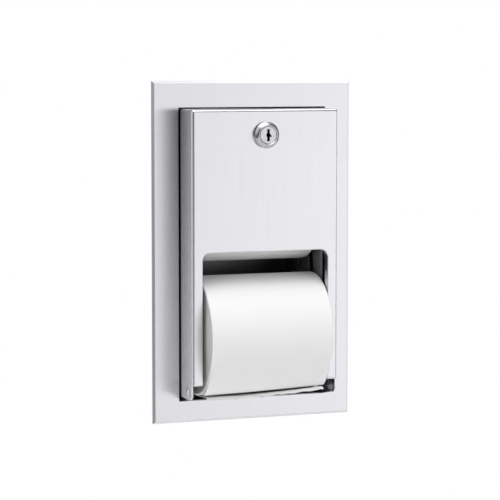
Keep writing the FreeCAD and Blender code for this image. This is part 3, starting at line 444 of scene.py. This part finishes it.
def new_piece(name, mesh, body):
    """Links a finished mesh as a piece that rides on a body."""
    piece = bpy.data.objects.new(name, mesh)
    bpy.context.scene.collection.objects.link(piece)
    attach(piece, body)
    return piece


def mesh_from(name, points, faces, material, smooth=True):
    mesh = bpy.data.meshes.new(name)
    mesh.from_pydata(points, [], faces)
    mesh.materials.append(material)
    mesh.polygons.foreach_set("use_smooth", [smooth] * len(mesh.polygons))
    mesh.update()
    return mesh


def node_axis(name):
    """Middle, length along X and radius of a round node that lies along X."""
    low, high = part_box(name)
    return (low + high) / 2, high.x - low.x, (high.z - low.z) / 2


def roll_profile(length, core, radius):
    """Half section of a roll as (x, r), from the core's left edge round outside to its right."""
    half = length / 2
    edge = ROLL_EDGE_ROUND
    left = []
    for step in range(ROLL_STEPS_END + 1):
        share = step / ROLL_STEPS_END
        dip = ROLL_END_DIP * math.sin(math.pi * share)
        left.append((dip - half, core + (radius - edge - core) * share))
    for step in range(1, ROLL_STEPS_ROUND + 1):
        turn = math.pi / 2 * step / ROLL_STEPS_ROUND
        left.append((edge - half - edge * math.cos(turn), radius - edge + edge * math.sin(turn)))
    flat = [
        ((edge - half) * (1 - 2 * step / ROLL_STEPS_ALONG), radius)
        for step in range(1, ROLL_STEPS_ALONG)
    ]
    return left + flat + [(-x, r) for x, r in reversed(left)]


def paper_roll(name, cad_node, core_node, body):
    """Wound tissue: a soft-edged roll, a little uneven, with its bore on the core."""
    middle, length, radius = node_axis(cad_node)
    core = node_axis(core_node)[2]
    profile = roll_profile(length, core, radius - ROLL_LUMP)
    points = []
    for step in range(ROLL_STEPS_AROUND):
        turn = 2 * math.pi * step / ROLL_STEPS_AROUND
        for x, r in profile:
            place = Vector((x, r * math.cos(turn), r * math.sin(turn)))
            lump = ROLL_LUMP * noise.noise(place * ROLL_LUMPS_PER_METRE + middle)
            swell = 1 + lump / radius * (r - core) / (radius - core)
            points.append(middle + Vector((x, place.y * swell, place.z * swell)))
    count = len(profile)
    faces = []
    for step in range(ROLL_STEPS_AROUND):
        here = step * count
        ahead = (step + 1) % ROLL_STEPS_AROUND * count
        for index in range(count):
            after = (index + 1) % count
            faces.append((here + index, here + after, ahead + after, ahead + index))
    mesh = mesh_from(name, points, faces, TISSUE)
    # The roll's two ends take the darker tissue, painted shade
    mesh.materials.append(TISSUE_END_SHADE)
    outside = range(ROLL_STEPS_END, count - 1 - ROLL_STEPS_END)
    slots = [int(face % count not in outside) for face in range(len(faces))]
    mesh.polygons.foreach_set("material_index", slots)
    piece = new_piece(name, mesh, body)
    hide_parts(cad_node)
    return piece


def geometry_tree(name, inputs):
    """An empty Geometry Nodes tree with named number inputs and one geometry output."""
    tree = bpy.data.node_groups.new(name, "GeometryNodeTree")
    for socket, kind in inputs.items():
        tree.interface.new_socket(socket, in_out="INPUT", socket_type=kind)
    tree.interface.new_socket("Geometry", in_out="OUTPUT", socket_type="NodeSocketGeometry")
    return tree, tree.nodes.new("NodeGroupInput"), tree.nodes.new("NodeGroupOutput")


def finish_tree(tree, result, geometry, material):
    """Ends a tree in smooth, realised geometry with its material."""
    smooth = node(tree, "GeometryNodeSetShadeSmooth", {"Geometry": geometry})
    real = node(tree, "GeometryNodeRealizeInstances", {"Geometry": smooth.outputs[0]})
    dressed = node(tree, "GeometryNodeSetMaterial", {
        "Geometry": real.outputs[0],
        "Material": material,
    })
    tree.links.new(dressed.outputs[0], result.inputs["Geometry"])


def grow(name, tree, values):
    """Runs a tree with its named inputs set, and hands back the result as a plain mesh."""
    holder = bpy.data.objects.new(name, bpy.data.meshes.new(f"{name}_seed"))
    bpy.context.scene.collection.objects.link(holder)
    modifier = holder.modifiers.new("grow", "NODES")
    modifier.node_group = tree
    for item in tree.interface.items_tree:
        if item.in_out == "INPUT" and item.name in values:
            modifier[item.identifier] = values[item.name]
    depsgraph = bpy.context.evaluated_depsgraph_get()
    mesh = bpy.data.meshes.new_from_object(holder.evaluated_get(depsgraph), depsgraph=depsgraph)
    holder.modifiers.remove(modifier)
    bpy.data.objects.remove(holder)
    mesh.name = name
    return mesh


def wound_edge_tree():
    """Edges of the wound paper on a roll's two ends: one spiral ridge each, slightly ragged."""
    number = "NodeSocketFloat"
    tree, given, result = geometry_tree("wound_edge", {
        "Core Radius": number,
        "Roll Radius": number,
        "Half Length": number,
        "Turns": number,
        "Ridge": number,
        "Ragged": number,
        "Steps": "NodeSocketInt",
        "Middle": "NodeSocketVector",
    })
    spiral = node(tree, "GeometryNodeCurveSpiral", {
        "Resolution": given.outputs["Steps"],
        "Rotations": given.outputs["Turns"],
        "Start Radius": given.outputs["Core Radius"],
        "End Radius": given.outputs["Roll Radius"],
        "Height": 0.0,
    })
    ends = node(tree, "GeometryNodeJoinGeometry")
    for side in (1.0, -1.0):
        across = math_node(tree, "MULTIPLY", given.outputs["Half Length"], side)
        shift = node(tree, "ShaderNodeCombineXYZ", {"X": across})
        turned = node(tree, "GeometryNodeTransform", {
            "Geometry": spiral.outputs[0],
            "Translation": shift.outputs[0],
            "Rotation": (0.0, math.pi / 2, 0.0),
        })
        tree.links.new(turned.outputs[0], ends.inputs[0])
    place = node(tree, "GeometryNodeInputPosition").outputs[0]
    ragged = node(tree, "ShaderNodeTexNoise", {
        "Vector": place,
        "Scale": WOUND_RAGS_PER_METRE,
        "Detail": 2.0,
    })
    sideways = math_node(tree, "SUBTRACT", ragged.outputs["Fac"], 0.5)
    sideways = math_node(tree, "MULTIPLY", sideways, given.outputs["Ragged"])
    offset = node(tree, "ShaderNodeCombineXYZ", {"X": sideways})
    shifted = node(tree, "ShaderNodeVectorMath", {
        0: offset.outputs[0],
        1: given.outputs["Middle"],
    })
    placed = node(tree, "GeometryNodeSetPosition", {
        "Geometry": ends.outputs[0],
        "Offset": shifted.outputs[0],
    })
    section = node(tree, "GeometryNodeCurvePrimitiveCircle", {
        "Resolution": WOUND_SIDES,
        "Radius": given.outputs["Ridge"],
    })
    ridge = node(tree, "GeometryNodeCurveToMesh", {
        "Curve": placed.outputs[0],
        "Profile Curve": section.outputs[0],
    })
    # The ridges take the darker tissue, painted shade on the roll's ends
    finish_tree(tree, result, ridge.outputs[0], TISSUE_END_SHADE)
    return tree


def wound_edges(name, cad_node, core_node, body, tree):
    """Paper edges on the two ends of one roll, grown from the tree."""
    middle, length, radius = node_axis(cad_node)
    core = node_axis(core_node)[2]
    outer = radius - ROLL_EDGE_ROUND
    mesh = grow(name, tree, {
        "Core Radius": core,
        "Roll Radius": outer,
        "Half Length": length / 2 - WOUND_RIDGE,
        "Turns": (outer - core) / WOUND_PITCH,
        "Ridge": WOUND_RIDGE,
        "Ragged": WOUND_RAGGED,
        "Steps": WOUND_STEPS_PER_TURN,
        "Middle": middle,
    })
    return new_piece(name, mesh, body)


def thread_tree():
    """A screw thread along Y: one ridge wound round the barrel."""
    number = "NodeSocketFloat"
    tree, given, result = geometry_tree("barrel_thread", {
        "Radius": number,
        "Length": number,
        "Turns": number,
        "Depth": number,
        "Steps": "NodeSocketInt",
        "Start": "NodeSocketVector",
    })
    helix = node(tree, "GeometryNodeCurveSpiral", {
        "Resolution": given.outputs["Steps"],
        "Rotations": given.outputs["Turns"],
        "Start Radius": given.outputs["Radius"],
        "End Radius": given.outputs["Radius"],
        "Height": given.outputs["Length"],
    })
    turned = node(tree, "GeometryNodeTransform", {
        "Geometry": helix.outputs[0],
        "Translation": given.outputs["Start"],
        "Rotation": (-math.pi / 2, 0.0, 0.0),
    })
    section = node(tree, "GeometryNodeCurvePrimitiveCircle", {
        "Resolution": THREAD_SIDES,
        "Radius": given.outputs["Depth"],
    })
    ridge = node(tree, "GeometryNodeCurveToMesh", {
        "Curve": turned.outputs[0],
        "Profile Curve": section.outputs[0],
        "Fill Caps": True,
    })
    finish_tree(tree, result, ridge.outputs[0], MATERIALS["lock_chrome"])
    return tree


def barrel_thread():
    """Thread on the barrel behind the nut."""
    case_low, case_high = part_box("lock_case")
    nut_low, nut_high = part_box("lock_nut")
    barrel_radius = (nut_high.z - nut_low.z) / 2 - NUT_WALL
    start = nut_high.y + THREAD_PITCH / 2
    length = case_high.y - THREAD_PITCH / 2 - start
    middle = (case_low + case_high) / 2
    mesh = grow("barrel_thread", thread_tree(), {
        "Radius": barrel_radius,
        "Length": length,
        "Turns": length / THREAD_PITCH,
        "Depth": THREAD_DEPTH,
        "Steps": THREAD_STEPS_PER_TURN,
        "Start": Vector((middle.x, start, middle.z)),
    })
    return new_piece("barrel_thread", mesh, "door")


def smooth_wave(shares, across):
    """Value of a smooth wave through even stations, at a share of the width."""
    place = across * (len(shares) - 1)
    low = min(int(place), len(shares) - 2)
    blend = place - low
    blend = blend * blend * (3 - 2 * blend)
    return shares[low] * (1 - blend) + shares[low + 1] * blend


def mixed(pair, share):
    return pair[0] * (1 - share) + pair[1] * share


def paper_sheet(name, cad_node, place, rows):
    """A thin sheet of tissue over a grid of places, which stands for a sheet of the frame."""
    width = SHEET_COLUMNS + 1
    points = [place(column, row) for row in range(rows + 1) for column in range(width)]
    faces = [
        (row * width + column, (row + 1) * width + column,
         (row + 1) * width + column + 1, row * width + column + 1)
        for row in range(rows)
        for column in range(SHEET_COLUMNS)
    ]
    piece = new_piece(name, mesh_from(name, points, faces, TISSUE), "lower_spindle")
    thick = piece.modifiers.new("thickness", "SOLIDIFY")
    thick.thickness = SHEET_THICKNESS
    thick.offset = 0.0
    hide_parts(cad_node)
    return piece


def turn_stretches(radius, across):
    """Arcs of the slack turn at a share of its width: centre y, centre z, radius, start, end."""
    slack = mixed(TURN_SLACK, across)
    end = mixed(TURN_END, across)
    hang = radius + slack
    curl_y = slack - (hang - TURN_CURL) * math.cos(end)
    curl_z = (hang - TURN_CURL) * math.sin(end)
    return (
        (0.0, 0.0, radius, TURN_START, 0.0),
        (slack, 0.0, hang, 0.0, end),
        (curl_y, curl_z, TURN_CURL, end, TURN_TUCK),
    )


def slack_turn():
    """Outer turn of the paper in use, slack at the roll's front and a little askew."""
    middle, width, roll_radius = node_axis("lower_roll_paper")
    radius = roll_radius + SHEET_LIFT

    def place(column, row):
        across = column / SHEET_COLUMNS
        stretch = 0
        while row > TURN_STEPS[stretch]:
            row -= TURN_STEPS[stretch]
            stretch += 1
        centre_y, centre_z, reach, start, end = turn_stretches(radius, across)[stretch]
        turn = start + (end - start) * row / TURN_STEPS[stretch]
        x = width * (across - 1 / 2) + (TURN_SHIFT + TURN_SKEW * math.sin(turn)) * across
        along = reach * turn * SHEET_CREASES_ALONG
        crease = noise.noise(Vector((x * SHEET_CREASES_ACROSS, along, stretch)))
        reach += SHEET_CREASE * (1 + crease)
        y = centre_y - reach * math.cos(turn)
        z = centre_z + reach * math.sin(turn)
        return middle + Vector((x, y, z))

    return paper_sheet("slack_tissue", "loose_turn", place, sum(TURN_STEPS))


def loose_tail():
    """Free end of the paper in use, with the small teeth of its torn perforation."""
    middle, _, roll_radius = node_axis("lower_roll_paper")
    radius = roll_radius + SHEET_LIFT
    rows = TAIL_STEPS_ROUND + TAIL_STEPS_REACH

    def place(column, row):
        across = column / SHEET_COLUMNS
        end = TAIL_END + smooth_wave(TAIL_WAVE_SHARES, across) * TAIL_WAVE / radius
        turn = TAIL_START + (end - TAIL_START) * min(row / TAIL_STEPS_ROUND, 1.0)
        past = TAIL_REACH * max(row - TAIL_STEPS_ROUND, 0) / TAIL_STEPS_REACH
        if row == rows and column % TAIL_TOOTH_COLUMNS < TAIL_TOOTH_COLUMNS / 2:
            past -= TAIL_TOOTH
        x = TAIL_WIDTH * (across - 1 / 2)
        ahead = Vector((0.0, math.sin(turn), math.cos(turn)))
        down = Vector((0.0, -math.cos(turn), math.sin(turn)))
        lip = mixed(TAIL_LIP, across)
        crinkle = noise.noise(Vector((x * TAIL_CRINKLES_PER_METRE, 0.0, 0.0)))
        lip_radius = lip / (TAIL_LIP_BEND * (1 + TAIL_CRINKLE_SHARE * crinkle))
        bend = max(past - (TAIL_REACH - lip), 0.0) / lip_radius
        straight = min(past, TAIL_REACH - lip)
        fall = lip_radius * (1 - math.cos(bend))
        out = ahead * (straight + lip_radius * math.sin(bend)) + down * fall
        on_roll = Vector((x, -radius * math.cos(turn), radius * math.sin(turn)))
        return middle + on_roll + out

    return paper_sheet("loose_tissue", "loose_sheet", place, rows)


def floor():
    """Plain pale floor well below the part, which hangs on a wall."""
    material, tree, shader = new_material("pale_floor", Roughness=0.9)
    soft = object_noise(tree, (3.0, 3.0, 3.0), 2.0, 0.5)
    tint = blend_colours(tree, soft, *FLOOR_GREYS)
    tree.links.new(tint, shader.inputs["Base Color"])
    half = FLOOR_SIZE / 2
    level = cad_box[0].z - FLOOR_DROP
    square = ((-half, -half), (half, -half), (half, half), (-half, half))
    corners = [(x, y, level) for x, y in square]
    mesh = mesh_from("floor", corners, [(0, 1, 2, 3)], material, smooth=False)
    plane = bpy.data.objects.new("floor", mesh)
    bpy.context.scene.collection.objects.link(plane)


def studio_world():
    """Soft lights in a dark room, and plain white where the camera looks past the part."""
    world = bpy.data.worlds.new("studio")
    bpy.context.scene.world = world
    world.use_nodes = True
    tree = world.node_tree
    tree.nodes.clear()
    way = node(tree, "ShaderNodeTexCoord").outputs["Generated"]
    total = 0.0
    for azimuth, elevation, full, gone, strength in STUDIO_LIGHTS.values():
        turn = math.radians(azimuth)
        rise = math.radians(elevation)
        towards = Vector((
            math.sin(turn) * math.cos(rise),
            -math.cos(turn) * math.cos(rise),
            math.sin(rise),
        ))
        facing = node(tree, "ShaderNodeVectorMath", {0: way, 1: towards}, operation="DOT_PRODUCT")
        glow = node(
            tree,
            "ShaderNodeMapRange",
            {
                "Value": facing.outputs["Value"],
                "From Min": math.cos(math.radians(gone)),
                "From Max": math.cos(math.radians(full)),
                "To Max": strength,
            },
            interpolation_type="SMOOTHSTEP",
        )
        total = math_node(tree, "ADD", glow.outputs["Result"], total)
    room = node(tree, "ShaderNodeBackground", {"Color": LIGHT_COLOUR, "Strength": total})
    plain = node(tree, "ShaderNodeBackground", {"Color": (1.0, 1.0, 1.0, 1.0), "Strength": 1.0})
    seen = node(tree, "ShaderNodeLightPath").outputs["Is Camera Ray"]
    either = node(tree, "ShaderNodeMixShader", {0: seen, 1: room.outputs[0], 2: plain.outputs[0]})
    node(tree, "ShaderNodeOutputWorld", {"Surface": either.outputs[0]})


def camera():
    """Camera at the photograph's angle: from the left and a little above."""
    ahead = Vector((
        math.sin(CAMERA_YAW) * math.cos(CAMERA_PITCH),
        math.cos(CAMERA_YAW) * math.cos(CAMERA_PITCH),
        -math.sin(CAMERA_PITCH),
    ))
    data = bpy.data.cameras.new("camera")
    data.lens = CAMERA_LENS
    eye = bpy.data.objects.new("camera", data)
    eye.location = CAMERA_TARGET - ahead * CAMERA_DISTANCE
    eye.rotation_euler = ahead.to_track_quat("-Z", "Y").to_euler()
    bpy.context.scene.collection.objects.link(eye)
    bpy.context.scene.camera = eye


dress_frame()
dress_plug()
lower_roll = paper_roll("lower_tissue_roll", "lower_roll_paper", "lower_roll_core", "lower_roll")
paper_roll("reserve_tissue_roll", "reserve_roll_paper", "reserve_roll_core", "reserve_roll")
wound_edge = wound_edge_tree()
wound_edges("lower_wound_edges", "lower_roll_paper", "lower_roll_core", "lower_roll", wound_edge)
wound_edges(
    "reserve_wound_edges", "reserve_roll_paper", "reserve_roll_core", "reserve_roll", wound_edge
)
barrel_thread()
slack_turn()
loose_tail()
floor()
studio_world()
camera()
bpy.context.scene.view_settings.view_transform = "Standard"
